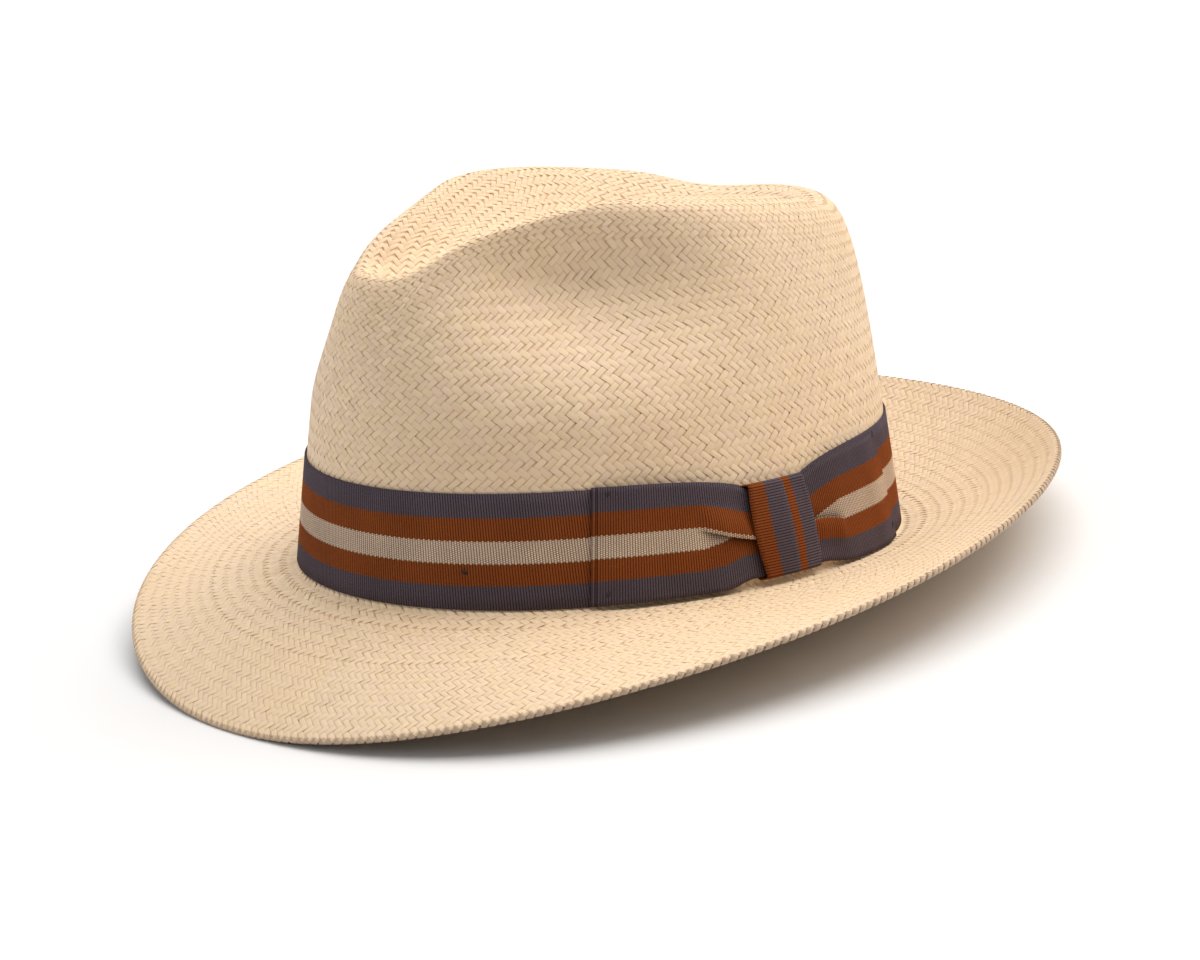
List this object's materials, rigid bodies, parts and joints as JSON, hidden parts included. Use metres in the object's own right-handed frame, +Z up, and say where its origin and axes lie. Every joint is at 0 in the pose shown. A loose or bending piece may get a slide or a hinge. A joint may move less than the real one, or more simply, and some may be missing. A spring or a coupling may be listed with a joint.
{
  "type": "fedora hat",
  "caption": "Snap-brim fedora of woven straw with a creased and pinched crown, a striped ribbon band, a flat side bow and a sweatband.",
  "frame": {"origin": "on the table plane, in the middle of the hat's overall length and width, with the hat standing as it is put down: on the front of its brim and the back of its head opening", "axes": "+Z up; the front points to -Y and the wearer's left to +X; the crown's base is tipped back 7.3 degrees, front up"},
  "size_m": [0.2796, 0.3168, 0.1327],
  "materials": {
    "straw": "woven pale straw, slightly glossy along each strand",
    "striped_ribbon": "ribbed grosgrain in grey-blue, rust and beige stripes, matt",
    "dark_thread": "matt sewing thread",
    "straw_thread": "matt sewing thread",
    "edge_wire": "drawn spring wire",
    "sweatband_cloth": "ribbed cotton, matt",
    "sweatband_reed": "coated cord",
    "flap_satin": "woven satin"
  },
  "bodies": {
    "hat": {"straw_body": "straw", "brim_edge_wire": "edge_wire", "hem_stitching": "straw_thread", "ribbon_band": "striped_ribbon", "bow_ribbon": "striped_ribbon", "bow_knot": "striped_ribbon", "tack_bow_front_low": "dark_thread", "tack_bow_front_high": "dark_thread", "tack_bow_rear_low": "dark_thread", "tack_bow_rear_high": "dark_thread", "tack_band": "dark_thread", "sweatband": "sweatband_cloth", "sweatband_reed": "sweatband_reed", "sweatband_stitching": "straw_thread", "sweatband_bow": "sweatband_cloth", "size_flap_seam": "straw_thread"},
    "flap": {"size_flap": "flap_satin"}
  },
  "joints": [
    {"name": "flap_swing", "type": "hinge", "parent": "hat", "child": "flap", "pos_m": [0.03321, 0.08908, 0.03396], "axis": [-0.805, 0.5751, -0.1458], "range_deg": [0, 110]}
  ]
}
